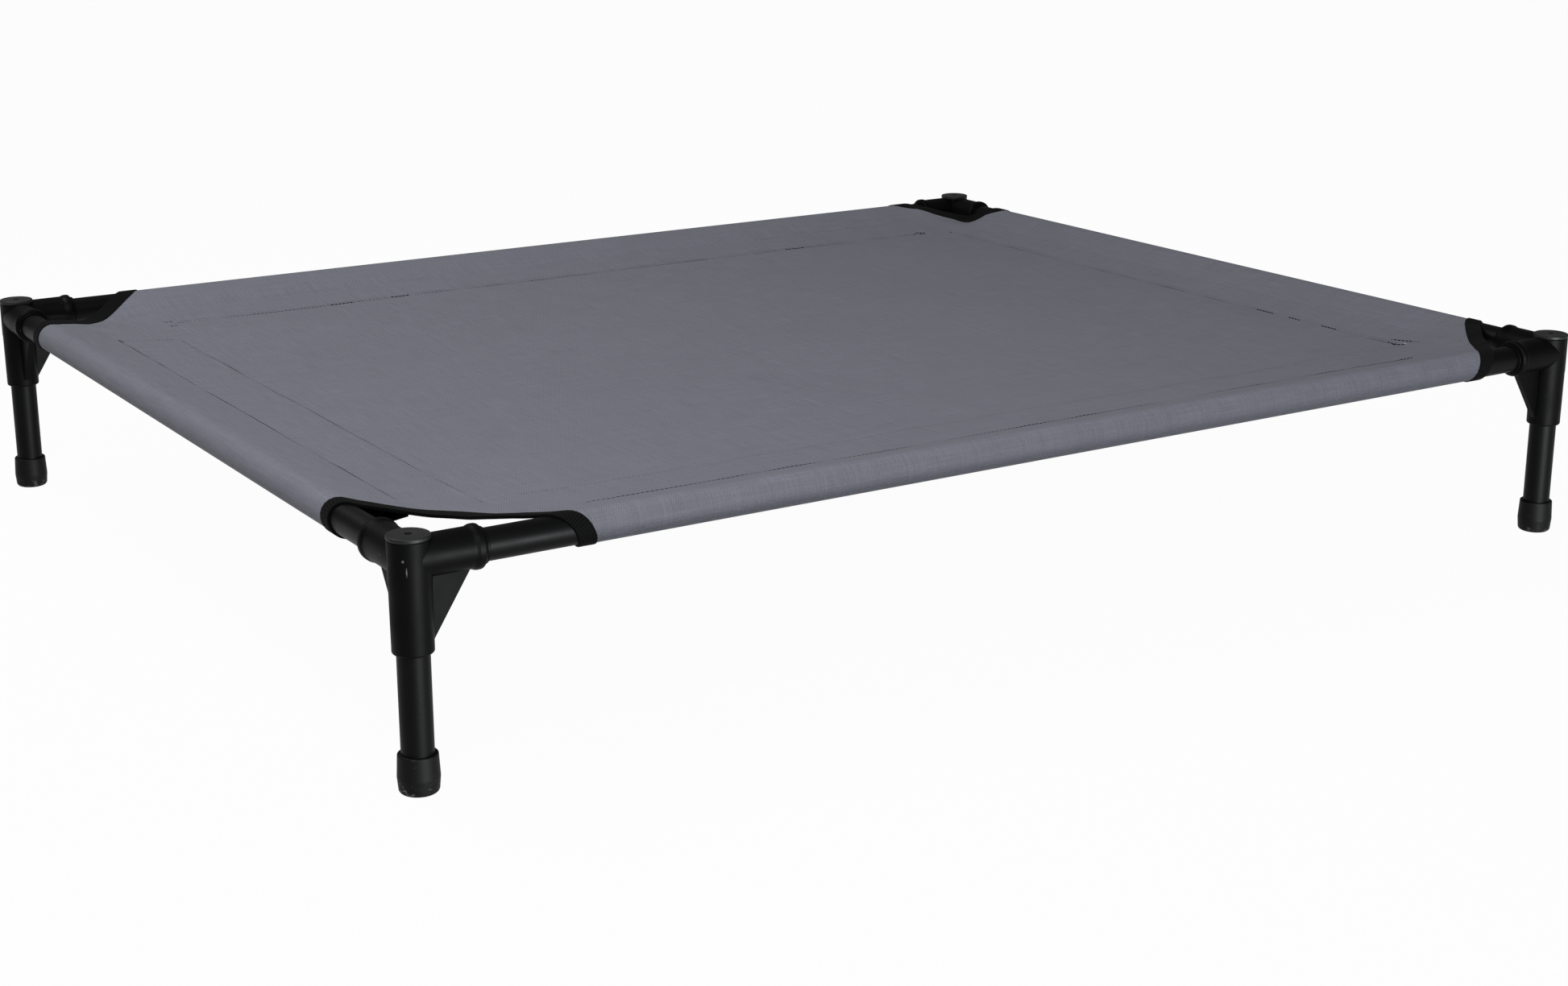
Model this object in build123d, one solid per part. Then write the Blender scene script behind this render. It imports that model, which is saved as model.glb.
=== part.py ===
"""Raised pet cot: a cloth sling stretched on four steel rails.

The rails plug into moulded three-way corner connectors, and each corner stands on a push-in leg with a foot.
Millimetres, +Z up. The origin is on the floor, under the middle of the frame. The front is the -Y side.
"""
import os
from math import acos, atan2, cos, hypot, sin, sqrt

from build123d import *

# Frame: the corner posts stand on the corners of this rectangle
post_spacing_x = 1056.0
post_spacing_y = 848.0
rail_axis_z = 158.0

# Steel tube, one stock for rails and legs
tube_diameter = 22.0
tube_wall = 1.2

# Corner connector: a post with two arms, each a socket for a tube
socket_wall = 2.85
rail_clearance = 0.15
leg_clearance = 0.2
arm_reach = 51.0
post_drop = 62.5
post_draft = 0.25
post_edge_radius = 1.5
shoulder_step = 0.2
shoulder_below_arm = 2.0
inner_wall = 3.0
bead_ramp = 3.0
bead_width = 5.0
bead_height = 1.1
bead_blend_radius = 4.0
bead_edge_radius = 2.4
groove_width = 0.7
groove_depth = 0.4
lip_width = 1.8
lip_wall = 1.35
lip_radius = 0.5
web_thickness = 5.0
web_above_post_end = 6.5
web_sink = 1.2

# Cap pressed into the top of each post
cap_overhang = 0.2
cap_thickness = 3.0
cap_edge_radius = 1.0
cap_seam_radius = 0.7
cap_seat_below_arm_top = 0.8
cap_plug_wall = 1.6
cap_plug_length = 12.0
cap_plug_clearance = 0.15
cap_plug_taper = 0.4
cap_pip_diameter = 5.0
cap_pip_depth = 2.0

# Foot pushed onto the lower end of each leg
foot_height = 27.0
foot_floor = 4.0
foot_rim_wall = 2.3
foot_belly_wall = 3.1
foot_belly_z = 11.0
foot_belly_radius = 10.0
foot_base_inset = 1.0
foot_edge_radius = 3.0
foot_rim_radius = 1.2
foot_clearance = 0.1

# Cloth sling: one sheet whose hems are folded round the rails and sewn back in two rows
cloth_thickness = 0.6
sleeve_clearance = 0.2
inner_row = 52.0
outer_row = 98.0
panel_drop = 5.0
cut_lean = 0.6

# Bare rail between each connector's mouths and the cloth, which is pulled to one side
front_left_bare = 46.0
front_right_bare = 21.0
rear_right_bare = 22.0
rear_left_bare = 28.0

# Woven tape bound over the cut edge at each corner of the cloth
tape_width = 12.0
tape_thickness = 0.9
tape_clearance = 0.15

# Sizes that follow from the ones above
tube_radius = tube_diameter / 2
arm_bore_radius = tube_radius + rail_clearance
arm_radius = arm_bore_radius + socket_wall
lip_start = arm_reach - lip_width
bead_end = lip_start - groove_width
bead_start = bead_end - bead_width
bead_foot = bead_start - bead_ramp
leg_bore_radius = tube_radius + leg_clearance
post_radius = leg_bore_radius + socket_wall
post_end_z = -post_drop
leg_stop_z = -arm_radius - shoulder_below_arm
post_top_z = arm_radius - cap_seat_below_arm_top
cap_bore_radius = post_radius - socket_wall - cap_plug_clearance
cap_disc_radius = post_radius + shoulder_step + cap_overhang
arm_floor = cap_bore_radius + inner_wall
sleeve_radius = tube_radius + sleeve_clearance
panel_top = cloth_thickness / 2 - panel_drop
beyond = 2 * outer_row

corners = {
    "front_left": (-1, -1),
    "front_right": (1, -1),
    "rear_right": (1, 1),
    "rear_left": (-1, 1),
}
bare_rail = {
    "front_left": front_left_bare,
    "front_right": front_right_bare,
    "rear_right": rear_right_bare,
    "rear_left": rear_left_bare,
}
sides = {
    "front": (0, -1),
    "right": (1, 0),
    "rear": (0, 1),
    "left": (-1, 0),
}


def post_location(sign_x, sign_y):
    """Middle of a corner, on its post axis and at the height of the rails."""
    return Pos(sign_x * post_spacing_x / 2, sign_y * post_spacing_y / 2, rail_axis_z)


def side_length(sign_x):
    """Distance between the post axes along one side of the frame."""
    return post_spacing_x if sign_x == 0 else post_spacing_y


def on_side(index, sign_x, sign_y):
    """Turn a piece made along X, with the cloth on its +Y side, onto one side of the frame."""
    place = Pos(sign_x * post_spacing_x / 2, sign_y * post_spacing_y / 2, rail_axis_z)
    return place * Rot(0, 0, 90 * index)


def rounded(profile, points, radius):
    """Round the corners of a flat profile that lie at the given points."""
    chosen = [profile.vertices().sort_by_distance(point)[0] for point in points]
    return fillet(chosen, radius)


def tube(length):
    """Straight length of the tube stock, standing on the XY plane."""
    return extrude(Circle(tube_radius) - Circle(tube_radius - tube_wall), length)


def arm_profile():
    """Half section of one arm: barrel, ramped and rounded bead, groove, then the thin lip of the mouth."""
    bead_top = arm_radius + bead_height
    lip_top = arm_bore_radius + lip_wall
    groove_bottom = lip_top - groove_depth
    outline = Polyline(
        (0, 0),
        (0, arm_radius),
        (bead_foot, arm_radius),
        (bead_start, bead_top),
        (bead_end, bead_top),
        (bead_end, groove_bottom),
        (lip_start, groove_bottom),
        (lip_start, lip_top),
        (arm_reach, lip_top),
        (arm_reach, 0),
        close=True,
    )
    profile = make_face(outline)
    profile = rounded(profile, [(bead_end, bead_top)], bead_edge_radius)
    profile = rounded(profile, [(bead_foot, arm_radius), (bead_start, bead_top)], bead_blend_radius)
    return rounded(profile, [(arm_reach, lip_top)], lip_radius)


def post_profile():
    """Half section of the post: drafted leg socket, a fine shoulder, then the plain top."""
    end_radius = post_radius - post_draft
    outline = Polyline(
        (0, post_end_z),
        (end_radius, post_end_z),
        (post_radius, leg_stop_z),
        (post_radius + shoulder_step, leg_stop_z),
        (post_radius + shoulder_step, post_top_z),
        (0, post_top_z),
        close=True,
    )
    profile = rounded(make_face(outline), [(end_radius, post_end_z)], post_edge_radius)
    return rounded(profile, [(post_radius + shoulder_step, post_top_z)], cap_seam_radius)


def gusset():
    """Triangular web that braces one arm against the post."""
    outline = Polyline(
        (post_radius - web_sink, post_end_z + web_above_post_end),
        (post_radius - post_draft, post_end_z + web_above_post_end),
        (bead_foot, -arm_radius),
        (bead_foot, -arm_radius + web_sink),
        (post_radius - web_sink, -arm_radius + web_sink),
        close=True,
    )
    return extrude(Plane.XZ * make_face(outline), web_thickness / 2, both=True)


def connector():
    """Corner moulding with its arms along +X and +Y, centred where the three axes meet."""
    post = revolve(Plane.XZ * post_profile(), Axis.Z)
    arm = revolve(Plane.XZ * arm_profile(), Axis.X)
    one_side = arm + gusset()
    body = post + one_side + Rot(0, 0, 90) * one_side
    leg_bore = Pos(0, 0, leg_stop_z) * extrude(Circle(leg_bore_radius), -beyond)
    cap_bore = Pos(0, 0, leg_stop_z + inner_wall) * extrude(Circle(cap_bore_radius), beyond)
    cap_seat = Pos(0, 0, post_top_z) * extrude(Circle(cap_disc_radius + cap_plug_clearance), beyond)
    rail_bore = extrude(Plane.YZ.offset(arm_floor) * Circle(arm_bore_radius), beyond)
    return body - leg_bore - cap_bore - cap_seat - rail_bore - Rot(0, 0, 90) * rail_bore


def cap():
    """Plug for the post's top: a rimmed disc with a moulded pip hole, over a hollow tapered spigot."""
    plug_radius = cap_bore_radius - cap_plug_clearance
    inside_radius = plug_radius - cap_plug_taper - cap_plug_wall
    disc_top = post_top_z + cap_thickness
    outline = Polyline(
        (0, post_top_z),
        (inside_radius, post_top_z),
        (inside_radius, post_top_z - cap_plug_length),
        (plug_radius - cap_plug_taper, post_top_z - cap_plug_length),
        (plug_radius, post_top_z),
        (cap_disc_radius, post_top_z),
        (cap_disc_radius, disc_top),
        (cap_pip_diameter / 2, disc_top),
        (cap_pip_diameter / 2, disc_top - cap_pip_depth),
        (0, disc_top - cap_pip_depth),
        close=True,
    )
    profile = rounded(make_face(outline), [(cap_disc_radius, disc_top)], cap_edge_radius)
    profile = rounded(profile, [(cap_disc_radius, post_top_z)], cap_seam_radius)
    return revolve(Plane.XZ * profile, Axis.Z)


def foot():
    """Cup on the end of a leg: swollen near the floor, with a rounded rim round the tube."""
    bore_radius = tube_radius + foot_clearance
    rim_radius = bore_radius + foot_rim_wall
    belly_radius = bore_radius + foot_belly_wall
    base_radius = belly_radius - foot_base_inset
    outline = Polyline(
        (0, 0),
        (base_radius, 0),
        (belly_radius, foot_belly_z),
        (rim_radius, foot_height),
        (bore_radius, foot_height),
        (bore_radius, foot_floor),
        (0, foot_floor),
        close=True,
    )
    profile = rounded(make_face(outline), [(base_radius, 0)], foot_edge_radius)
    profile = rounded(profile, [(belly_radius, foot_belly_z)], foot_belly_radius)
    profile = rounded(profile, [(rim_radius, foot_height)], foot_rim_radius)
    return revolve(Plane.XZ * profile, Axis.Z)


def touch_point(radius, tip, side):
    """Where a straight line from the tip meets the circle round a rail, above (1) or below (-1)."""
    angle = atan2(tip[1], tip[0]) + side * acos(radius / hypot(tip[0], tip[1]))
    return (radius * cos(angle), radius * sin(angle))


def row_height(radius, top):
    """Height of the straight upper layer at the inner row, between the rail and the outer row."""
    touch = touch_point(radius, (outer_row, top), 1)
    share = (outer_row - inner_row) / (outer_row - touch[0])
    return top + share * (touch[1] - top)


def sleeve_envelope(length, grow):
    """Outside of a sleeve and its flat hem, made along X and grown evenly by the given amount."""
    radius = sleeve_radius + cloth_thickness + grow
    top = panel_top + grow
    doubled = 2 * (cloth_thickness + grow)
    upper = touch_point(radius, (outer_row, top), 1)
    under_row = (inner_row, row_height(radius, top) - doubled)
    lower = touch_point(radius, under_row, -1)
    wrap = ThreePointArc(upper, (-radius, 0), lower)
    flats = Polyline(lower, under_row, (outer_row, top - doubled), (outer_row, top), upper)
    return extrude(Plane.YZ * make_face([wrap, flats]), length / 2, both=True)


def sleeve_hollow(length):
    """Room inside a sleeve, made along X, which the rail runs through."""
    outside = sleeve_radius + cloth_thickness
    tip = (inner_row, row_height(outside, panel_top) - cloth_thickness)
    upper = touch_point(sleeve_radius, tip, 1)
    lower = touch_point(sleeve_radius, tip, -1)
    wrap = ThreePointArc(upper, (-sleeve_radius, 0), lower)
    flats = Polyline(lower, tip, upper)
    return extrude(Plane.YZ * make_face([wrap, flats]), length / 2, both=True)


def mitre(length):
    """Block that ends a sleeve on the diagonals of the frame, made along X."""
    half = length / 2
    outline = Polyline(
        (-half - outer_row, -outer_row),
        (half + outer_row, -outer_row),
        (half - outer_row, outer_row),
        (-half + outer_row, outer_row),
        close=True,
    )
    return extrude(make_face(outline), beyond, both=True)


def corner_slice(corner, inward):
    """Block outside the cut at one corner of the cloth, which leans back below the rails' tops."""
    index = list(corners).index(corner)
    middle = (arm_reach + bare_rail[corner]) / 2
    rail_top = sleeve_radius + cloth_thickness
    cut = Plane((middle, middle, rail_top), x_dir=(1, -1, 0), z_dir=(1, 1, sqrt(2) * cut_lean))
    block = cut.offset(inward) * Box(2 * beyond, 2 * beyond, beyond, align=(Align.CENTER, Align.CENTER, Align.MAX))
    return post_location(*corners[corner]) * Rot(0, 0, 90 * index) * block


def panel_slab(thickness):
    """Flat middle of the cloth, out to the seams on all four sides."""
    size_x = post_spacing_x - 2 * outer_row
    size_y = post_spacing_y - 2 * outer_row
    slab = extrude(Rectangle(size_x, size_y), thickness / 2, both=True)
    return Pos(0, 0, rail_axis_z - panel_drop) * slab


def cut_corners(cloth):
    """Slice all four corners off a piece of cloth."""
    for corner in corners:
        cloth = cloth - corner_slice(corner, 0)
    return cloth


def sleeve(index, sign_x, sign_y):
    """Hem of one side, folded round its rail and sewn to the panel."""
    length = side_length(sign_x)
    loop = sleeve_envelope(length, 0) - sleeve_hollow(length)
    return cut_corners(on_side(index, sign_x, sign_y) * (loop & mitre(length)))


def cloth_envelope(grow):
    """Whole outside of the sling, sleeves and panel, before its corners are cut."""
    whole = panel_slab(cloth_thickness + 2 * grow)
    for index, (sign_x, sign_y) in enumerate(sides.values()):
        whole = whole + on_side(index, sign_x, sign_y) * sleeve_envelope(side_length(sign_x), grow)
    return whole


def binding(corner, outside, covered):
    """Tape along one corner cut, over the edge and both faces, and round the two sleeve ends."""
    edge = tape_clearance + tape_thickness
    band = corner_slice(corner, tape_width) - corner_slice(corner, -edge)
    tape = (outside & band) - (covered - corner_slice(corner, -tape_clearance))
    sign_x, sign_y = corners[corner]
    for index, (side_x, side_y) in enumerate(sides.values()):
        if side_x in (0, sign_x) and side_y in (0, sign_y):
            tape = tape - on_side(index, side_x, side_y) * sleeve_hollow(side_length(side_x))
    return tape.solids().sort_by(SortBy.VOLUME)[-1]


def save(node, piece):
    """Write one piece to its own file."""
    export_step(piece, os.path.join("parts", node + ".step"))


os.makedirs("parts", exist_ok=True)

corner_moulding = connector()
post_cap = cap()
leg_foot = foot()
leg_tube = tube(rail_axis_z + leg_stop_z - foot_floor)
for index, (corner, (sign_x, sign_y)) in enumerate(corners.items()):
    place = post_location(sign_x, sign_y)
    ground = place * Pos(0, 0, -rail_axis_z)
    save("corner_" + corner, place * Rot(0, 0, 90 * index) * corner_moulding)
    save("cap_" + corner, place * post_cap)
    save("leg_" + corner, ground * Pos(0, 0, foot_floor) * leg_tube)
    save("foot_" + corner, ground * leg_foot)

for index, (side, (sign_x, sign_y)) in enumerate(sides.items()):
    rail_length = side_length(sign_x) - 2 * arm_floor
    rail = Pos(-rail_length / 2, 0, 0) * Rot(0, 90, 0) * tube(rail_length)
    save("rail_" + side, on_side(index, sign_x, sign_y) * rail)
    save("sleeve_" + side, sleeve(index, sign_x, sign_y))

save("sling_panel", cut_corners(panel_slab(cloth_thickness)))

taped_outside = cloth_envelope(tape_clearance + tape_thickness)
taped_cloth = cloth_envelope(tape_clearance)
for corner in corners:
    save("binding_" + corner, binding(corner, taped_outside, taped_cloth))
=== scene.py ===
import math

import bpy
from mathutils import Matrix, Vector, noise


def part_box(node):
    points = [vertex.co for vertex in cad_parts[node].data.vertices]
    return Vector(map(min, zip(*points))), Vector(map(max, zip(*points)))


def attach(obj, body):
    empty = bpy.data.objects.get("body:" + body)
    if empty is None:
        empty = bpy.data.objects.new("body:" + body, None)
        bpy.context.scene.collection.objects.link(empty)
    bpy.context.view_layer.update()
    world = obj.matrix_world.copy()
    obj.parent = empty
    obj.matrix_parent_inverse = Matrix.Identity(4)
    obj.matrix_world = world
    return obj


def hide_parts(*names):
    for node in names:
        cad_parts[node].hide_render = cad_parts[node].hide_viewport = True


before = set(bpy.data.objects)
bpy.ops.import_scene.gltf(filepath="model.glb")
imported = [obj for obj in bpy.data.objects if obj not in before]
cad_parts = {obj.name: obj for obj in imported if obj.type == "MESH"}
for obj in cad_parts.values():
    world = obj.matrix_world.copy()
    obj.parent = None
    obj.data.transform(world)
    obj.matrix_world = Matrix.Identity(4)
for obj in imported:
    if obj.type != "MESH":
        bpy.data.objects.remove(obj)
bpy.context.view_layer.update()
bpy.ops.object.select_all(action="DESELECT")


# Corner connectors
# Four black plastic mouldings, each with two level arms and a post, and a thin
# web under each arm. They are moulded in one shot, with a fine spark-eroded skin
# that handling has rubbed smoother in places and nicked on the post.
corner_names = ("front_left", "front_right", "rear_right", "rear_left")


def new_finish(name):
    """An empty finish: the material, its nodes, its links and its shader."""
    finish = bpy.data.materials.new(name)
    finish.use_nodes = True
    nodes = finish.node_tree.nodes
    return finish, nodes, finish.node_tree.links, nodes["Principled BSDF"]


def place_node(nodes, source="Object"):
    """The coordinates that a finish reads."""
    return nodes.new("ShaderNodeTexCoord").outputs[source]


def stretched(nodes, links, vector, stretch):
    """Coordinates drawn out by a different amount along each axis."""
    mapping = nodes.new("ShaderNodeMapping")
    mapping.inputs["Scale"].default_value = stretch
    links.new(vector, mapping.inputs["Vector"])
    return mapping.outputs["Vector"]


def mottle(nodes, links, vector, scale, detail=2.0):
    """Cloudy noise at so many cells a metre."""
    cloud = nodes.new("ShaderNodeTexNoise")
    cloud.inputs["Scale"].default_value = scale
    cloud.inputs["Detail"].default_value = detail
    links.new(vector, cloud.inputs["Vector"])
    return cloud.outputs["Fac"]


def ramp(nodes, links, value, stops):
    """A colour ramp through (place, colour) stops."""
    band = nodes.new("ShaderNodeValToRGB")
    marks = band.color_ramp.elements
    while len(marks) < len(stops):
        marks.new(0.5)
    for mark, (place, colour) in zip(marks, stops):
        mark.position = place
        mark.color = (*colour, 1.0)
    links.new(value, band.inputs["Fac"])
    return band.outputs["Color"]


def between(nodes, links, value, old, new):
    """A value carried from one range to another, each a (start, end) pair."""
    carry = nodes.new("ShaderNodeMapRange")
    sockets = ("From Min", "From Max", "To Min", "To Max")
    for socket, number in zip(sockets, (*old, *new)):
        carry.inputs[socket].default_value = number
    links.new(value, carry.inputs["Value"])
    return carry.outputs["Result"]


def sums(nodes, links, kind, first, second):
    """One arithmetic step on two values, either of which may be a plain number."""
    step = nodes.new("ShaderNodeMath")
    step.operation = kind
    for socket, value in zip(step.inputs, (first, second)):
        if isinstance(value, (int, float)):
            socket.default_value = value
        else:
            links.new(value, socket)
    return step.outputs["Value"]


def relief(nodes, links, shader, height, strength, distance):
    """Bump on a shader from a height."""
    bump = nodes.new("ShaderNodeBump")
    bump.inputs["Strength"].default_value = strength
    bump.inputs["Distance"].default_value = distance
    links.new(height, bump.inputs["Height"])
    links.new(bump.outputs["Normal"], shader.inputs["Normal"])


def worn_spots(nodes, links, place, spots):
    """A mask that is one inside small worn spots, each a (place, half-size) pair."""
    mask = 0.0
    grain = mottle(nodes, links, place, scale=1400.0)
    for middle, reach in spots:
        offset = nodes.new("ShaderNodeVectorMath")
        offset.operation = "SUBTRACT"
        offset.inputs[1].default_value = middle
        links.new(place, offset.inputs[0])
        share = nodes.new("ShaderNodeVectorMath")
        share.operation = "DIVIDE"
        share.inputs[1].default_value = reach
        links.new(offset.outputs["Vector"], share.inputs[0])
        far = nodes.new("ShaderNodeVectorMath")
        far.operation = "LENGTH"
        links.new(share.outputs["Vector"], far.inputs[0])
        ragged = sums(nodes, links, "ADD", far.outputs["Value"], grain)
        spot = between(nodes, links, ragged, (0.9, 1.4), (1.0, 0.0))
        mask = sums(nodes, links, "MAXIMUM", mask, spot)
    return mask


def moulded_plastic(name, body, rubbed, nick, gloss, rough, spots=()):
    """Black moulded plastic: skin, rubbed patches, and a few pale nicks."""
    finish, nodes, links, shader = new_finish(name)
    place = place_node(nodes)
    patches = mottle(nodes, links, place, scale=46.0, detail=4.0)
    colour = ramp(nodes, links, patches, [(0.35, body), (0.72, rubbed)])
    specks = mottle(nodes, links, place, scale=330.0, detail=1.0)
    mask = between(nodes, links, specks, (0.79, 0.83), (0.0, 0.7))
    if spots:
        mask = sums(nodes, links, "MAXIMUM", mask, worn_spots(nodes, links, place, spots))
    mix = nodes.new("ShaderNodeMix")
    mix.data_type = "RGBA"
    mix.inputs["B"].default_value = (*nick, 1.0)
    links.new(mask, mix.inputs["Factor"])
    links.new(colour, mix.inputs["A"])
    links.new(mix.outputs["Result"], shader.inputs["Base Color"])
    rub_smoothing = 0.14
    roughness = between(nodes, links, patches, (0.3, 0.75), (rough, rough - rub_smoothing))
    links.new(roughness, shader.inputs["Roughness"])
    shader.inputs["Specular IOR Level"].default_value = gloss
    skin = mottle(nodes, links, place, scale=1500.0)
    relief(nodes, links, shader, skin, strength=0.22, distance=0.00012)
    return finish


def dress(node, finish):
    """Gives a node of the frame its finish."""
    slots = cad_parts[node].data.materials
    slots.clear()
    slots.append(finish)


# Two nicks on the near post, each by its place and its half-sizes.
post_nicks = (
    ((-0.5371, -0.4343, 0.1600), (0.0009, 0.0030, 0.0011)),
    ((-0.5354, -0.4360, 0.1530), (0.0005, 0.0030, 0.0040)),
)
connector_plastic = moulded_plastic(
    "connector_plastic",
    body=(0.0010, 0.0010, 0.0010),
    rubbed=(0.0022, 0.0022, 0.0023),
    nick=(0.16, 0.16, 0.155),
    gloss=0.046,
    rough=0.55,
    spots=post_nicks,
)
for corner in corner_names:
    dress(f"corner_{corner}", connector_plastic)


# Rails
# Four round steel tubes pushed into the connectors' arms, powder-coated satin
# black with a slight orange peel. They run inside the cloth's sleeves, so only
# their ends show.
def powder_coat(name):
    """Satin black powder coat with orange peel and faint rubbed streaks."""
    finish, nodes, links, shader = new_finish(name)
    place = place_node(nodes)
    streaks = mottle(nodes, links, place, scale=30.0, detail=5.0)
    coat = (0.0010, 0.0010, 0.0011)
    rubbed = (0.0022, 0.0022, 0.0024)
    colour = ramp(nodes, links, streaks, [(0.3, coat), (0.75, rubbed)])
    links.new(colour, shader.inputs["Base Color"])
    roughness = between(nodes, links, streaks, (0.3, 0.75), (0.50, 0.40))
    links.new(roughness, shader.inputs["Roughness"])
    shader.inputs["Specular IOR Level"].default_value = 0.07
    peel = mottle(nodes, links, place, scale=620.0, detail=1.0)
    relief(nodes, links, shader, peel, strength=0.16, distance=0.0002)
    return finish


rail_names = ("front", "right", "rear", "left")
black_tube = powder_coat("black_tube")
for side in rail_names:
    dress(f"rail_{side}", black_tube)


# Sling
# One piece of grey coated Oxford cloth. Each side goes over its rail, round it
# and back under, and is sewn to itself in two rows, so the rails run in sleeves.
# The corners are cut away, and the lying surface sags a little between the rows.
# Sides are counted in the order of rail_names and corners in that of corner_names, so
# a side starts at the corner of its own number.
corner_signs = ((-1, -1), (1, -1), (1, 1), (-1, 1))
cloth_thickness = 0.0006
sleeve_slack = 0.0002
inner_row = 0.044
outer_rows = (0.096, 0.080, 0.092, 0.096)
inner_row_up = 0.001
panel_drop = 0.0035
panel_sag = 0.006
sag_margin = 0.09
row_crispness = 0.0016
corner_blend = 3.0

# How the cut edge drifts along each rail on its way round it and back under, and
# how the layer underneath hangs clear of the upper one.
wrap_drifts = (0.021, 0.0, 0.021, 0.0)
under_shifts = (0.021, -0.011, 0.021, -0.011)
under_curve = 2.5
under_gap = 0.0012
under_ease = 0.004

# How soon past the tube the cloth is free to give and to crease, and the small
# ripples of the panel and puckers of the rows.
tube_hold = 0.006
give_ease = 0.014
crease_ease = 0.03
ripple_height = 0.0007
ripple_cells = 9.0
ripple_layer = 0.3
pucker_height = 0.00028
pucker_width = 0.007
pucker_fade = 3.0
pucker_cells = 85.0
pucker_row_layer = 40.0
pucker_side_layer = 7.1

# Each corner's cut: how far from the post it crosses the rail that starts there and
# the rail that ends there, and how far it bows inward between them.
corner_cuts = (
    (0.100, 0.098, 0.008),
    (0.079, 0.073, 0.003),
    (0.067, 0.079, 0.000),
    (0.089, 0.095, 0.000),
)
# Where a corner stands taut or hangs slack: the corner, the place from its two rails,
# the height and the reach.
corner_gives = (
    (0, 0.060, 0.060, 0.0036, 0.045),
    (1, 0.045, 0.048, 0.0060, 0.040),
    (2, 0.026, 0.063, -0.0085, 0.018),
    (2, 0.062, 0.022, 0.0022, 0.016),
    (3, 0.066, 0.040, -0.0046, 0.034),
)

leg_low, leg_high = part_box("leg_front_right")
post_x = (leg_low.x + leg_high.x) / 2
post_y = -(leg_low.y + leg_high.y) / 2
rail_low, rail_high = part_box("rail_front")
rail_z = (rail_low.z + rail_high.z) / 2
tube_radius = (rail_high.z - rail_low.z) / 2
wrap_radius = tube_radius + sleeve_slack + cloth_thickness / 2
half_lengths = (post_x, post_y, post_x, post_y)

# How far the middle of each cut is from both of its rails.
corner_mids = [
    first * last / (first + last) * (1.0 + 2.0 * bow / (first + last))
    for first, last, bow in corner_cuts
]

# The straight run down from the tube's top to the inner row, the arc round the
# tube, and the run back up to that row, all in the section across a rail.
row_reach = math.hypot(inner_row, inner_row_up)
top_lean = math.pi / 2 - math.atan2(inner_row_up, inner_row) - math.acos(wrap_radius / row_reach)
top_inward = wrap_radius * math.sin(top_lean)
top_up = wrap_radius * math.cos(top_lean)
meet_up = inner_row_up - cloth_thickness
base_lean = math.atan2(meet_up, inner_row) + math.asin(wrap_radius / math.hypot(meet_up, inner_row))
base_inward = wrap_radius * math.sin(base_lean)
base_up = -wrap_radius * math.cos(base_lean)
arc_turn = math.pi + top_lean + base_lean
arc_run = wrap_radius * arc_turn
base_run = math.hypot(inner_row - base_inward, meet_up - base_up)


def rail_point(side, along, inward, up):
    """A point along a rail, inward from its axis and up from it."""
    x, y = along, inward - half_lengths[(side + 1) % 4]
    for _ in range(side):
        x, y = -y, x
    return Vector((x, y, rail_z + up))


# Soft creases that the pull of the corners leaves in the cloth: two ends in plan,
# half-width and height.
creases = (
    ((-0.10, -0.352), (0.36, -0.345), 0.010, 0.0011),
    ((0.02, -0.318), (0.42, -0.322), 0.012, -0.0010),
    ((-0.22, -0.372), (0.16, -0.376), 0.008, -0.0007),
    ((0.30, -0.300), (0.46, -0.352), 0.009, 0.0010),
    ((-0.43, -0.335), (-0.30, -0.235), 0.014, 0.0010),
    ((-0.45, 0.345), (-0.33, 0.255), 0.014, 0.0009),
    ((0.45, 0.345), (0.34, 0.262), 0.013, 0.0009),
    ((0.395, -0.389), (0.500, -0.367), 0.0045, 0.0013),
    ((-0.492, 0.352), (-0.460, 0.303), 0.004, 0.0009),
)


def crease_height(x, y):
    """The height that the creases add."""
    total = 0.0
    for (ax, ay), (bx, by), width, height in creases:
        run_x, run_y = bx - ax, by - ay
        length = math.hypot(run_x, run_y)
        place = ((x - ax) * run_x + (y - ay) * run_y) / length**2
        off = ((y - ay) * run_x - (x - ax) * run_y) / length
        fade = max(0.0, 1.0 - (2.0 * place - 1.0) ** 2)
        total += height * fade * math.exp(-((off / width) ** 2))
    return total


def softened(room):
    """A length that eases to nothing where it turns negative."""
    share = room / row_crispness
    fully_clear = 30.0
    return row_crispness * (share if share > fully_clear else math.log1p(math.exp(share)))


def hem_rise(inward, outer_row):
    """How far one side's hem lifts the cloth above the panel."""
    outer_slope = (inner_row_up + panel_drop) / (outer_row - inner_row)
    inner_slope = (top_up - inner_row_up) / (inner_row - top_inward)
    outer_rise = outer_slope * softened(outer_row - inward)
    inner_rise = (inner_slope - outer_slope) * softened(inner_row - inward)
    return outer_rise + inner_rise


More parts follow.
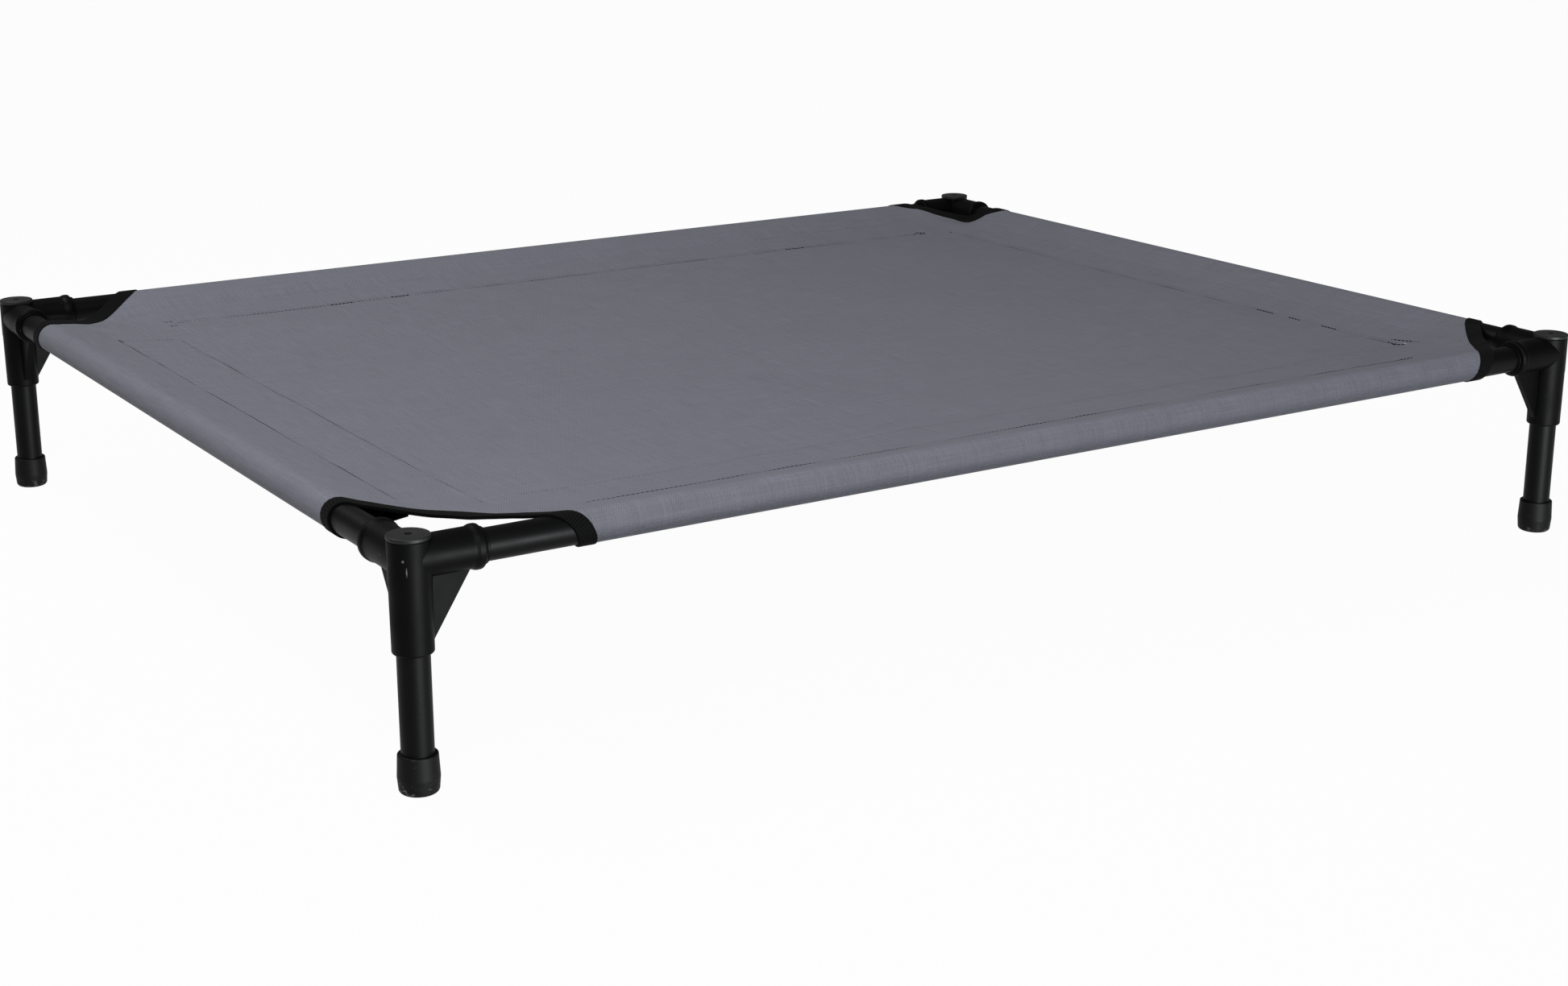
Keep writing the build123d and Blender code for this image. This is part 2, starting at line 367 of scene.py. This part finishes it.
def cloth_up(x, y):
    """How far the upper layer's middle is above the rails' axes."""
    inwards = (post_y + y, post_x - x, post_y - y, post_x + x)
    rises = [hem_rise(inward, row) ** corner_blend for inward, row in zip(inwards, outer_rows)]
    rise = sum(rises) ** (1.0 / corner_blend)
    sag_x = max(0.0, 1.0 - (x / (post_x - sag_margin)) ** 2)
    sag_y = max(0.0, 1.0 - (y / (post_y - sag_margin)) ** 2)
    give = -panel_sag * sag_x * sag_y
    past_tube = min(inwards) - tube_hold
    loose = min(1.0, max(0.0, past_tube / give_ease))
    for corner, from_side, from_end, lift, reach in corner_gives:
        sign_x, sign_y = corner_signs[corner]
        mid_x = (post_x - from_side) * sign_x
        mid_y = (post_y - from_end) * sign_y
        give += loose * lift * math.exp(-((math.hypot(x - mid_x, y - mid_y) / reach) ** 2))
    up = rise - panel_drop + give
    free = min(1.0, max(0.0, past_tube / crease_ease))
    up += free * crease_height(x, y)
    ripple = noise.noise(Vector((x * ripple_cells, y * ripple_cells, ripple_layer)))
    up += free * ripple_height * ripple
    for side, inward in enumerate(inwards):
        along = x if side % 2 == 0 else y
        for row in (inner_row, outer_rows[side]):
            off = (inward - row) / pucker_width
            if abs(off) < pucker_fade:
                layer = (along * pucker_cells, row * pucker_row_layer, side * pucker_side_layer)
                pucker = noise.noise(Vector(layer))
                up += pucker_height * pucker * math.exp(-off * off)
    return up


def cloth_point(side, along, run):
    """A point of the cloth's middle, run metres past the tube's top on its way round."""
    if run < 0.0:
        spot = rail_point(side, along, top_inward - run, 0.0)
        spot.z = rail_z + cloth_up(spot.x, spot.y)
        return spot
    if run < arc_run:
        turn = math.pi / 2 - top_lean + run / wrap_radius
        return rail_point(side, along, wrap_radius * math.cos(turn), wrap_radius * math.sin(turn))
    past = run - arc_run
    inward = base_inward + past * math.cos(base_lean)
    up = base_up + past * math.sin(base_lean)
    spot = rail_point(side, along, inward, up)
    open_share = min(1.0, max(0.0, (base_run - past) / under_ease))
    highest = rail_z + cloth_up(spot.x, spot.y) - cloth_thickness - under_gap * open_share
    spot.z = min(spot.z, highest)
    return spot


def cut_back(corner, side, run):
    """How far from the post's axis the cloth's cut edge is, at that run on that side."""
    first, last, bow = corner_cuts[corner]
    near, far = (first, last) if side == corner else (last, first)
    inward = max(top_inward, top_inward - run)
    over = near * (1.0 - inward / far)
    over += bow * 2.0 * near / (near + far) * math.sin(math.pi / 2 * inward / corner_mids[corner])
    if run < 0.0:
        return over
    ease = wrap_drifts[side] / arc_run
    if run < arc_run:
        share = run / arc_run
        return over + run * (1.0 + (3.0 * ease - 2.0) * share + (1.0 - 2.0 * ease) * share**2)
    lowest = over + wrap_drifts[side]
    share = min(1.0, (run - arc_run) / base_run)
    return lowest + (near + under_shifts[side] - lowest) * share**under_curve


# How finely the cloth's grid is divided: the hem bands, the panel between them, and
# the steps of each flap over the rail, round it, back under it and along the hem.
band_cells = 8
row_support = 0.0025
panel_cells_x = 128
panel_cells_y = 96
upper_steps = 8
arc_steps = 14
under_steps = 7
hem_steps = 7
flap_steps = upper_steps + arc_steps + under_steps + hem_steps
cells_x = panel_cells_x + 2 * (band_cells + 2)
cells_y = panel_cells_y + 2 * (band_cells + 2)


def grid_line(index, cells, span, start, end):
    """Where a grid line of the lying surface is across its span, from (cut, row) at each end."""

    def from_edge(step, cut, row):
        if step <= band_cells:
            return cut + (row - row_support - cut) * step / band_cells
        return row + row_support * (step - band_cells - 1)

    edge = band_cells + 2
    if index <= edge:
        return -span + from_edge(index, *start)
    if index >= cells - edge:
        return span - from_edge(cells - index, *end)
    first = -span + start[1] + row_support
    last = span - end[1] - row_support
    return first + (last - first) * (index - edge) / (cells - 2 * edge)


def surface_spot(column, row):
    """The plan place of one grid corner of the lying surface."""
    front_row, right_row, rear_row, left_row = outer_rows
    fore = row / cells_y
    left = corner_mids[0] + (corner_mids[3] - corner_mids[0]) * fore
    right = corner_mids[1] + (corner_mids[2] - corner_mids[1]) * fore
    over = column / cells_x
    front = corner_mids[0] + (corner_mids[1] - corner_mids[0]) * over
    rear = corner_mids[3] + (corner_mids[2] - corner_mids[3]) * over
    x = grid_line(column, cells_x, post_x, (left, left_row), (right, right_row))
    return x, grid_line(row, cells_y, post_y, (front, front_row), (rear, rear_row))


def flap_spot(side, column, row, step):
    """A grid corner of one side's flap, and where it lies on the flat cloth."""
    x, y = surface_spot(column, row)
    along = (x, y, -x, -y)[side]
    inward = (post_y + y, post_x - x, post_y - y, post_x + x)[side]
    half = half_lengths[side]
    last_corner = (side + 1) % 4
    first, last = corner_mids[side], corner_mids[last_corner]
    share = (along + half - first) / (2 * half - first - last)
    hem = 0.0
    if step <= upper_steps:
        left = 1 - step / upper_steps
        run, first_run, last_run = [(top_inward - start) * left for start in (inward, first, last)]
    elif step <= upper_steps + arc_steps:
        run = first_run = last_run = arc_run * (step - upper_steps) / arc_steps
    else:
        past = (step - upper_steps - arc_steps) / under_steps
        run = first_run = last_run = arc_run + base_run * min(1.0, past)
        hem = max(0.0, (step - flap_steps + hem_steps) / hem_steps) * (outer_rows[side] - inner_row)
    start = -half + cut_back(side, side, first_run) + hem
    end = half - cut_back(last_corner, side, last_run) - hem
    place = start + share * (end - start)
    flat = (place, half_lengths[last_corner] - top_inward + run + hem)
    if hem == 0.0:
        return cloth_point(side, place, run), flat
    spot = rail_point(side, place, inner_row + hem, 0.0)
    spot.z = rail_z + cloth_up(spot.x, spot.y) - cloth_thickness
    return spot, flat


bpy.ops.mesh.primitive_grid_add(
    x_subdivisions=cells_x + 2 * flap_steps, y_subdivisions=cells_y + 2 * flap_steps, size=1.0
)
sling = bpy.context.object
sling.name = "sling"

bpy.ops.object.mode_set(mode="EDIT")
bpy.ops.mesh.select_all(action="DESELECT")
bpy.ops.object.mode_set(mode="OBJECT")
flap_x = 0.5 - flap_steps / (cells_x + 2 * flap_steps)
flap_y = 0.5 - flap_steps / (cells_y + 2 * flap_steps)
for face in sling.data.polygons:
    face.select = abs(face.center.x) > flap_x and abs(face.center.y) > flap_y
bpy.ops.object.mode_set(mode="EDIT")
bpy.ops.mesh.delete(type="FACE")
bpy.ops.object.mode_set(mode="OBJECT")

flat_places = []
for vertex in sling.data.vertices:
    column = round((vertex.co.x + 0.5) * (cells_x + 2 * flap_steps)) - flap_steps
    row = round((vertex.co.y + 0.5) * (cells_y + 2 * flap_steps)) - flap_steps
    beyond = (-row, column - cells_x, row - cells_y, -column)
    side = max(range(4), key=lambda index: beyond[index])
    column = min(max(column, 0), cells_x)
    row = min(max(row, 0), cells_y)
    if beyond[side] <= 0:
        x, y = surface_spot(column, row)
        vertex.co = (x, y, rail_z + cloth_up(x, y))
        flat_places.append((x, y))
    else:
        vertex.co, (over, out) = flap_spot(side, column, row, beyond[side])
        flat_places.append(((over, -out), (out, over), (-over, out), (-out, -over))[side])
flat_map = sling.data.uv_layers.active
flat_map.name = "flat_cloth"
for loop in sling.data.loops:
    flat_map.data[loop.index].uv = flat_places[loop.vertex_index]

thicken = sling.modifiers.new("cloth", "SOLIDIFY")
thicken.thickness = cloth_thickness
thicken.offset = 0.0
bpy.ops.object.modifier_apply(modifier=thicken.name)
bpy.ops.object.shade_smooth()

yarn_pitch = 0.00075
rib_pitch_x = 0.00182
rib_pitch_y = 0.0035
slub_cells_across = 900.0
slub_cells_along = 22.0
slub_weight = 0.9
mark_weight = 0.1
slub_depth = 2.0
dark_yarn = (0.118, 0.119, 0.142)
pale_yarn = (0.168, 0.169, 0.200)
sling_cloth, nodes, links, shader = new_finish("sling_cloth")
flat = place_node(nodes, "UV")
split = nodes.new("ShaderNodeSeparateXYZ")
links.new(flat, split.inputs["Vector"])
turns = math.pi / yarn_pitch
warp = sums(nodes, links, "SINE", sums(nodes, links, "MULTIPLY", split.outputs["X"], turns), 0.0)
weft = sums(nodes, links, "SINE", sums(nodes, links, "MULTIPLY", split.outputs["Y"], turns), 0.0)
weave = sums(nodes, links, "MULTIPLY", warp, weft)
rib_along = sums(nodes, links, "MULTIPLY", split.outputs["X"], 2 * math.pi / rib_pitch_x)
rib_across = sums(nodes, links, "MULTIPLY", split.outputs["Y"], 2 * math.pi / rib_pitch_y)
ribs = sums(nodes, links, "SINE", sums(nodes, links, "SUBTRACT", rib_along, rib_across), 0.0)
warp_yarns = stretched(nodes, links, flat, (slub_cells_across, slub_cells_along, 1.0))
weft_yarns = stretched(nodes, links, flat, (slub_cells_along, slub_cells_across, 1.0))
slub_x = mottle(nodes, links, warp_yarns, scale=1.0, detail=1.0)
slub_y = mottle(nodes, links, weft_yarns, scale=1.0, detail=1.0)
slub = sums(nodes, links, "MULTIPLY", sums(nodes, links, "ADD", slub_x, slub_y), 0.5)
clouds = mottle(nodes, links, flat, scale=7.0, detail=3.0)
tone = sums(nodes, links, "MULTIPLY", slub, slub_weight)
for mark in (clouds, weave, ribs):
    tone = sums(nodes, links, "ADD", tone, sums(nodes, links, "MULTIPLY", mark, mark_weight))
colour = ramp(nodes, links, tone, [(0.30, dark_yarn), (0.70, pale_yarn)])
links.new(colour, shader.inputs["Base Color"])
shader.inputs["Roughness"].default_value = 0.58
shader.inputs["Specular IOR Level"].default_value = 0.09
shader.inputs["Sheen Weight"].default_value = 0.02
shader.inputs["Sheen Roughness"].default_value = 0.45
depth = sums(nodes, links, "ADD", weave, sums(nodes, links, "MULTIPLY", slub, slub_depth))
depth = sums(nodes, links, "ADD", depth, ribs)
relief(nodes, links, shader, depth, strength=0.45, distance=0.00012)
sling.data.materials.append(sling_cloth)

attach(sling, "frame")
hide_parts("sling_panel", *[f"sleeve_{side}" for side in rail_names])


# Corner binding
# Black woven tape folded over the cut edge of the cloth at each corner and sewn
# through. It runs over both rails, round them and back under to the inner row.
tape_width = 0.012
tape_thickness = 0.0009
tape_overhang = 0.0009
tape_end = 0.9
tape_rounding = 0.0006
sharp_angle = math.radians(50)
tape_stations = 60
tape_across = (-tape_overhang, 0.0004, 0.0025, 0.005, 0.0075, 0.010, tape_width)


def tape_path(corner):
    """The cut edge from one sleeve's underside to the other's: side, end of the rail, run."""
    low_run = arc_run + base_run * tape_end
    path = []
    for side, end in ((corner, -1), ((corner - 1) % 4, 1)):
        high_run = top_inward - corner_mids[corner]
        runs = [
            low_run + (high_run - low_run) * step / tape_stations
            for step in range(tape_stations + 1)
        ]
        path.append([(side, end, run) for run in runs])
    return path[0] + path[1][::-1][1:]


def tape_point(corner, side, end, run, across):
    """A point across the tape, square to the cut edge on the unrolled cloth."""
    nudge = 0.0004
    after = cut_back(corner, side, run + nudge)
    before = cut_back(corner, side, run - nudge)
    slope = (after - before) / (2 * nudge)
    scale = across / math.hypot(1.0, slope)
    back = cut_back(corner, side, run) + scale
    return cloth_point(side, end * (half_lengths[side] - back), run - slope * scale)


woven_tape, nodes, links, shader = new_finish("binding_tape")
flat = place_node(nodes, "UV")
split = nodes.new("ShaderNodeSeparateXYZ")
links.new(flat, split.inputs["Vector"])
tape_rib_pitch = 0.0019
dark_tape = (0.0014, 0.0014, 0.0014)
pale_tape = (0.0074, 0.0074, 0.0076)
turns = math.pi / tape_rib_pitch
rising = sums(nodes, links, "ADD", split.outputs["X"], split.outputs["Y"])
falling = sums(nodes, links, "SUBTRACT", split.outputs["X"], split.outputs["Y"])
rising = sums(nodes, links, "SINE", sums(nodes, links, "MULTIPLY", rising, turns), 0.0)
falling = sums(nodes, links, "SINE", sums(nodes, links, "MULTIPLY", falling, turns), 0.0)
ribs = sums(nodes, links, "MULTIPLY", rising, falling)
fuzz = mottle(nodes, links, flat, scale=2600.0)
height = sums(nodes, links, "ADD", ribs, fuzz)
level = between(nodes, links, height, (-0.4, 1.5), (0.0, 1.0))
colour = ramp(nodes, links, level, [(0.1, dark_tape), (0.9, pale_tape)])
links.new(colour, shader.inputs["Base Color"])
shader.inputs["Roughness"].default_value = 0.7
shader.inputs["Specular IOR Level"].default_value = 0.02
shader.inputs["Sheen Weight"].default_value = 0.01
relief(nodes, links, shader, height, strength=0.6, distance=0.0004)

for corner, corner_name in enumerate(corner_names):
    path = tape_path(corner)
    bpy.ops.mesh.primitive_grid_add(
        x_subdivisions=len(path) - 1, y_subdivisions=len(tape_across) - 1, size=1.0
    )
    tape = bpy.context.object
    tape.name = f"binding_tape_{corner_name}"
    lengths = [0.0]
    for station, following in zip(path, path[1:]):
        step = tape_point(corner, *station, 0.0) - tape_point(corner, *following, 0.0)
        lengths.append(lengths[-1] + step.length)
    places = []
    for vertex in tape.data.vertices:
        station = round((vertex.co.x + 0.5) * (len(path) - 1))
        across = tape_across[round((vertex.co.y + 0.5) * (len(tape_across) - 1))]
        side, end, run = path[station]
        vertex.co = tape_point(corner, side, end, run, across)
        places.append((lengths[station], across))
    for loop in tape.data.loops:
        tape.data.uv_layers.active.data[loop.index].uv = places[loop.vertex_index]
    fold = tape.modifiers.new("fold", "SOLIDIFY")
    fold.thickness = cloth_thickness + 2 * tape_thickness
    fold.offset = 0.0
    bpy.ops.object.modifier_apply(modifier=fold.name)
    edge = tape.modifiers.new("edge", "BEVEL")
    edge.width = tape_rounding
    edge.segments = 2
    edge.limit_method = "ANGLE"
    edge.angle_limit = sharp_angle
    bpy.ops.object.modifier_apply(modifier=edge.name)
    bpy.ops.object.shade_smooth_by_angle(angle=sharp_angle)
    tape.data.materials.append(woven_tape)
    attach(tape, "frame")
    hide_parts(f"binding_{corner_name}")


# Hem stitches
# Dark lockstitch thread in two rows along each side, sunk into the cloth where it
# is tight and standing proud where it is slack. The ends are sewn back over
# themselves or left as short tails.
stitch_pitch = 0.0038
stitch_length = 0.0034
thread_radius = 0.00032
heavy_swell = 1.7

# How the thread's slack wanders along a row, how far it shows on the whole, and how
# it stands out of the cloth or sinks in, in thread radii.
slack_pace = 0.11
slack_row_layer = 60.0
slack_side_layer = 3.7
usual_show = 0.55
show_swing = 0.9
proud_most = 1.1
sunk_most = 0.35

# Each row: its side, how far inward of the rail, its ends from the two posts, and
# how much its thread shows. A bold row is the only kind with heavy spots.
bold_row = 0.5
front_row_shift = 0.003
twin_row_gap = 0.005
stitch_rows = (
    (0, inner_row - front_row_shift, 0.150, 0.119, 1.0),
    (0, outer_rows[0], 0.128, 0.128, 0.15),
    (1, inner_row, 0.110, 0.110, 0.1),
    (1, outer_rows[1], 0.100, 0.095, 0.85),
    (1, outer_rows[1] - twin_row_gap, 0.104, 0.100, 0.35),
    (2, inner_row, 0.120, 0.120, 0.1),
    (2, outer_rows[2], 0.121, 0.111, 0.75),
    (2, outer_rows[2] - twin_row_gap, 0.124, 0.115, 0.3),
    (3, inner_row, 0.153, 0.112, 1.0),
    (3, outer_rows[3], 0.165, 0.088, 0.9),
)
# Short runs and tails: the side, both ends as (from the first post, inward), and how
# much the thread shows. One end is coloured pale as a painted glint on the thread.
painted_glint_end = 2.0
stitch_tails = (
    (1, (0.0930, 0.0778), (0.1060, 0.0850), 1.0),
    (1, (0.0860, 0.0668), (0.1160, 0.0722), 0.9),
    (1, (0.0930, 0.0755), (0.0935, 0.0775), painted_glint_end),
    (2, (0.1080, 0.0905), (0.1200, 0.0870), 1.0),
    (2, (0.1110, 0.0955), (0.1220, 0.0940), 1.0),
    (2, (0.9430, 0.0860), (0.9510, 0.0850), 0.9),
    (2, (0.9440, 0.1030), (0.9520, 0.1035), 0.9),
    (3, (0.1530, 0.0480), (0.1560, 0.0960), 0.45),
)
# Where a row is sewn back over itself or its thread is slack: the side, the distance
# from the side's first post, and half the length.
heavy_spots = (
    (0, 0.925, 0.007),
    (0, 0.936, 0.003),
    (1, 0.100, 0.009),
    (1, 0.180, 0.010),
    (1, 0.225, 0.008),
    (1, 0.262, 0.012),
    (1, 0.749, 0.006),
    (2, 0.116, 0.007),
    (2, 0.276, 0.012),
    (2, 0.721, 0.010),
    (2, 0.780, 0.012),
    (3, 0.156, 0.005),
)

thread, nodes, links, shader = new_finish("hem_thread")
tone = nodes.new("ShaderNodeAttribute")
tone.attribute_name = "thread_tone"
# Thread tones: dark thread, the cloth's grey where the thread sinks in, and a pale painted glint.
thread_tones = [
    (0.0, (0.006, 0.006, 0.0065)),
    (0.5, (0.122, 0.122, 0.141)),
    (1.0, (0.5, 0.5, 0.5)),
]
links.new(ramp(nodes, links, tone.outputs["Fac"], thread_tones), shader.inputs["Base Color"])
shader.inputs["Roughness"].default_value = 0.6
shader.inputs["Specular IOR Level"].default_value = 0.05
twist = mottle(nodes, links, place_node(nodes), scale=4200.0, detail=1.0)
relief(nodes, links, shader, twist, strength=0.4, distance=0.0001)

seams = []
for side, row, first, last, shown in stitch_rows:
    seams.append((side, (first, row), (2 * half_lengths[side] - last, row), shown))
seams.extend(stitch_tails)

rows = []
for side, start, end, shown in seams:
    run = Vector(end) - Vector(start)
    count = max(1, int(run.length / stitch_pitch))
    bpy.ops.mesh.primitive_uv_sphere_add(segments=6, ring_count=4, radius=1.0)
    stitch = bpy.context.object
    bpy.ops.transform.resize(value=(thread_radius, thread_radius, stitch_length / 2))
    bpy.ops.object.transform_apply(location=False, rotation=False, scale=True)
    repeat = stitch.modifiers.new("row", "ARRAY")
    repeat.count = count
    repeat.use_relative_offset = False
    repeat.use_constant_offset = True
    repeat.constant_offset_displace = (0.0, 0.0, stitch_pitch)
    bpy.ops.object.modifier_apply(modifier=repeat.name)
    heading = run.normalized()
    tones = []
    for vertex in stitch.data.vertices:
        number = math.floor(vertex.co.z / stitch_pitch + 0.5)
        middle = start[0] + heading.x * number * stitch_pitch
        layer = (number * slack_pace, start[1] * slack_row_layer, side * slack_side_layer)
        slack = noise.noise(Vector(layer))
        showing = min(1.0, shown) * min(1.0, max(0.0, usual_show + show_swing * slack))
        swell = 1.0
        for heavy_side, heavy_place, half in heavy_spots:
            if heavy_side == side and shown > bold_row and abs(middle - heavy_place) < half:
                showing = 1.0
                swell = heavy_swell
        along = start[0] + heading.x * vertex.co.z - heading.y * vertex.co.x * swell
        inward = start[1] + heading.y * vertex.co.z + heading.x * vertex.co.x * swell
        spot = rail_point(side, along - half_lengths[side], inward, 0.0)
        proud = cloth_thickness / 2 + thread_radius * (proud_most * showing - sunk_most)
        spot.z = rail_z + cloth_up(spot.x, spot.y) + proud + vertex.co.y * swell
        vertex.co = spot
        # The glint end takes the pale tone, a painted glint.
        tones.append(1.0 if shown == painted_glint_end else 0.5 * (1.0 - showing))
    bpy.ops.object.shade_smooth()
    stitch.data.attributes.new("thread_tone", "FLOAT", "POINT").data.foreach_set("value", tones)
    rows.append(stitch)
bpy.ops.object.select_all(action="DESELECT")
for stitch in rows:
    stitch.select_set(True)
bpy.context.view_layer.objects.active = rows[0]
bpy.ops.object.join()
stitches = bpy.context.object
stitches.name = "hem_stitches"
stitches.data.materials.clear()
stitches.data.materials.append(thread)
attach(stitches, "frame")


# Caps
# Round plastic plugs pressed into the top of each post, moulded like the
# connectors, with a small gate pip in the middle. Their plastic is coloured a
# lighter grey than the connectors' as a painted reflection, standing in for the
# bright sheen on their tops.
# The lighter body and rubbed greys below are a painted reflection of the caps' bright tops.
cap_plastic = moulded_plastic(
    "cap_plastic",
    body=(0.0090, 0.0090, 0.0091),
    rubbed=(0.0150, 0.0150, 0.0152),
    nick=(0.16, 0.16, 0.155),
    gloss=0.165,
    rough=0.52,
)
for corner in corner_names:
    dress(f"cap_{corner}", cap_plastic)


# Legs
# Short lengths of the same powder-coated tube, pushed up into the posts until
# they meet the stop inside, and free to be drawn out again.
for corner in corner_names:
    dress(f"leg_{corner}", black_tube)


# Feet
# Soft black plastic cups pushed over the ends of the legs. The floor has scuffed
# their lower edges grey.
foot_rubber, nodes, links, shader = new_finish("foot_rubber")
place = place_node(nodes)
split = nodes.new("ShaderNodeSeparateXYZ")
links.new(place, split.inputs["Vector"])
wear_cells = (260.0, 260.0, 620.0)
wear = mottle(nodes, links, stretched(nodes, links, place, wear_cells), scale=1.0, detail=3.0)
near_floor = between(nodes, links, split.outputs["Z"], (0.011, 0.001), (0.0, 0.16))
worn = sums(nodes, links, "ADD", wear, near_floor)
scuff = between(nodes, links, worn, (0.68, 0.82), (0.0, 1.0))
# Three scrapes on the near foot, each by its place and its half-sizes.
foot_scuffs = (
    ((-0.5410, -0.4222, 0.0102), (0.0030, 0.0013, 0.0008)),
    ((-0.5409, -0.4250, 0.0088), (0.0030, 0.0017, 0.0006)),
    ((-0.5402, -0.4278, 0.0074), (0.0030, 0.0015, 0.0006)),
)
scuff = sums(nodes, links, "MAXIMUM", scuff, worn_spots(nodes, links, place, foot_scuffs))
clean_foot = (0.0018, 0.0018, 0.0019)
scuffed_foot = (0.11, 0.107, 0.098)
colour = ramp(nodes, links, scuff, [(0.0, clean_foot), (1.0, scuffed_foot)])
links.new(colour, shader.inputs["Base Color"])
shader.inputs["Roughness"].default_value = 0.56
shader.inputs["Specular IOR Level"].default_value = 0.095
skin = mottle(nodes, links, place, scale=1300.0)
relief(nodes, links, shader, skin, strength=0.2, distance=0.00012)
for corner in corner_names:
    dress(f"foot_{corner}", foot_rubber)


# Floor, light and camera
# A pale floor that runs out of sight, soft lights over the front left and the rear
# left, a low one on the face of the front sleeve, an even light from the room, and a
# low card that shows only as streaks on the black parts.
floor_veil = 0.97
bed_middle = Vector((0.0, 0.0, 0.15))

bpy.ops.mesh.primitive_plane_add(size=60.0)
floor = bpy.context.object
floor.name = "floor"
pale_floor, nodes, links, shader = new_finish("pale_floor")
shader.inputs["Base Color"].default_value = (0.42, 0.42, 0.42, 1.0)
shader.inputs["Roughness"].default_value = 0.95
shader.inputs["Specular IOR Level"].default_value = 0.0
white = nodes.new("ShaderNodeEmission")
white.inputs["Strength"].default_value = 1.0
ray = nodes.new("ShaderNodeLightPath")
seen = sums(nodes, links, "MAXIMUM", ray.outputs["Is Camera Ray"], ray.outputs["Is Glossy Ray"])
seen = sums(nodes, links, "MAXIMUM", seen, ray.outputs["Is Transmission Ray"])
veil = nodes.new("ShaderNodeMixShader")
links.new(sums(nodes, links, "MULTIPLY", seen, floor_veil), veil.inputs[0])
links.new(shader.outputs["BSDF"], veil.inputs[1])
links.new(white.outputs["Emission"], veil.inputs[2])
links.new(veil.outputs["Shader"], nodes["Material Output"].inputs["Surface"])
floor.data.materials.append(pale_floor)

world = bpy.data.worlds.new("studio")
bpy.context.scene.world = world
world.use_nodes = True
room = world.node_tree.nodes["Background"]
room.inputs["Color"].default_value = (1.0, 1.0, 1.0, 1.0)
room.inputs["Strength"].default_value = 0.19


def soft_light(name, place, width, height, power, colour):
    """A panel of soft light, turned to the bed."""
    panel = bpy.data.lights.new(name, "AREA")
    panel.shape = "RECTANGLE"
    panel.size = width
    panel.size_y = height
    panel.energy = power
    panel.color = colour
    lamp = bpy.data.objects.new(name, panel)
    bpy.context.scene.collection.objects.link(lamp)
    lamp.location = place
    aim = bed_middle - Vector(place)
    lamp.rotation_euler = aim.to_track_quat("-Z", "Y").to_euler()
    return lamp


soft_light(
    "key",
    place=(-1.0, -1.45, 1.6),
    width=0.9,
    height=0.9,
    power=35.0,
    colour=(0.96, 0.985, 1.0),
)
soft_light(
    "side",
    place=(-0.95, 0.85, 1.9),
    width=1.0,
    height=1.0,
    power=25.0,
    colour=(1.0, 1.0, 0.98),
)
low_light = soft_light(
    "low",
    place=(0.95, -1.9, 0.26),
    width=0.9,
    height=0.4,
    power=10.5,
    colour=(0.90, 0.95, 1.0),
)
low_light.visible_glossy = False
card = soft_light(
    "card",
    place=(-0.03, -2.4, 0.08),
    width=1.0,
    height=0.13,
    power=112.0,
    colour=(0.95, 0.98, 1.0),
)
card.visible_diffuse = False

camera = bpy.data.cameras.new("camera")
camera.sensor_width = 36.0
camera.lens = 56.295
viewpoint = bpy.data.objects.new("camera", camera)
bpy.context.scene.collection.objects.link(viewpoint)
viewpoint.location = (-1.1247, -1.7832, 0.6309)
camera_dip = 16.36
camera_turn = -32.827
viewpoint.rotation_euler = (math.radians(90.0 - camera_dip), 0.0, math.radians(camera_turn))
bpy.context.scene.camera = viewpoint
bpy.context.scene.view_settings.view_transform = "Standard"
